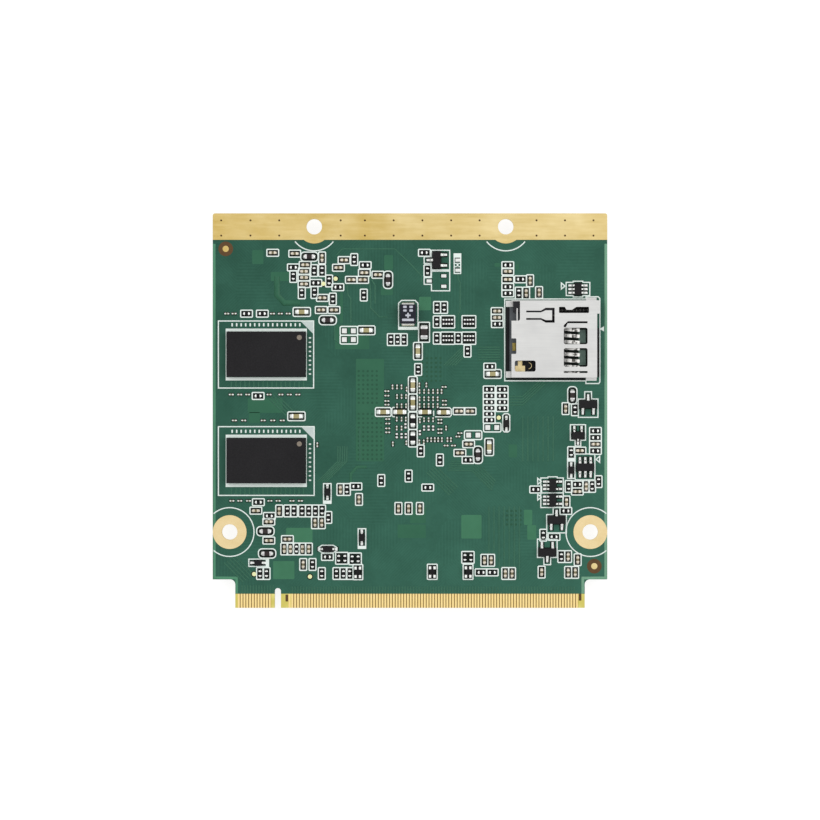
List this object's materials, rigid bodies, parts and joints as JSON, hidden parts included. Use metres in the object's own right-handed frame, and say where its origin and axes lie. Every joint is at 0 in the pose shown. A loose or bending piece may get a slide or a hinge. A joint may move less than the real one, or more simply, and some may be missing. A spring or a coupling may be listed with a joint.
{
  "type": "system on module",
  "caption": "Square green computer board with an edge connector, plated strip, mounting holes, memory chips and a sprung memory card socket.",
  "frame": {"origin": "under the board's centre, level with the tallest parts of the lower face", "axes": "+Z out of the socket face, +Y to the plated strip, +X to the memory card socket"},
  "size_m": [0.07, 0.07, 0.005],
  "materials": {
    "laminate": "green solder mask over glass-fibre laminate, satin",
    "plated_gold": "thin gold plating",
    "tin": "bright tin",
    "solder": "reflowed solder",
    "black_mould": "matte moulded epoxy",
    "black_housing": "black moulded plastic",
    "grey_slider": "dark grey moulded plastic",
    "shell_steel": "nickel-plated steel, pale satin",
    "contact_alloy": "plated contact alloy",
    "black_glaze": "black glazed resistor coat",
    "tan_ceramic": "fired ceramic",
    "ferrite": "sintered ferrite"
  },
  "bodies": {
    "module": {"circuit_board": "laminate", "plated_strip": "plated_gold", "hole_lands": "plated_gold", "lower_face_lands": "plated_gold", "edge_contacts": "plated_gold", "lower_face_contacts": "plated_gold", "fiducials": "plated_gold", "test_pads": "plated_gold", "bare_lands": "tin", "upper_memory": "black_mould", "lower_memory": "black_mould", "memory_balls": "solder", "socket_housing": "black_housing", "socket_shell": "shell_steel", "socket_contacts": "contact_alloy", "socket_switch": "contact_alloy", "socket_spring": "shell_steel", "socket_cam_pin": "shell_steel", "resistors": "black_glaze", "resistor_ends": "tin", "capacitors": "tan_ceramic", "capacitor_ends": "tin", "large_capacitors": "tan_ceramic", "large_capacitor_ends": "tin", "tiny_capacitors": "tan_ceramic", "tiny_capacitor_ends": "tin", "beads": "ferrite", "bead_ends": "tin", "resistor_arrays": "black_glaze", "resistor_array_ends": "tin", "chokes": "ferrite", "choke_ends": "tin", "tantalum_case": "black_mould", "tantalum_straps": "tin", "transistors": "black_mould", "transistor_leads": "tin", "logic_chips": "black_mould", "logic_leads": "tin", "diodes": "black_mould", "diode_leads": "tin", "processor": "black_mould", "processor_balls": "solder", "hidden_memory_upper": "black_mould", "hidden_memory_lower": "black_mould", "hidden_memory_balls": "solder", "storage_chip": "black_mould", "storage_balls": "solder", "leadless_chips": "black_mould", "leadless_lands": "tin", "boot_memory": "black_mould", "boot_leads": "tin", "inductors": "ferrite", "inductor_clips": "tin", "crystal_bases": "tan_ceramic", "crystal_lids": "shell_steel", "hidden_capacitors": "tan_ceramic", "hidden_capacitor_ends": "tin"},
    "card_ejector": {"socket_slider": "grey_slider", "socket_latch": "shell_steel"}
  },
  "joints": [
    {"name": "ejector_slide", "type": "slide", "parent": "module", "child": "card_ejector", "axis": [1, 0, 0], "range_m": [0, 0.0026], "stiffness_N_per_m": 200, "deforming": ["socket_spring"]}
  ]
}
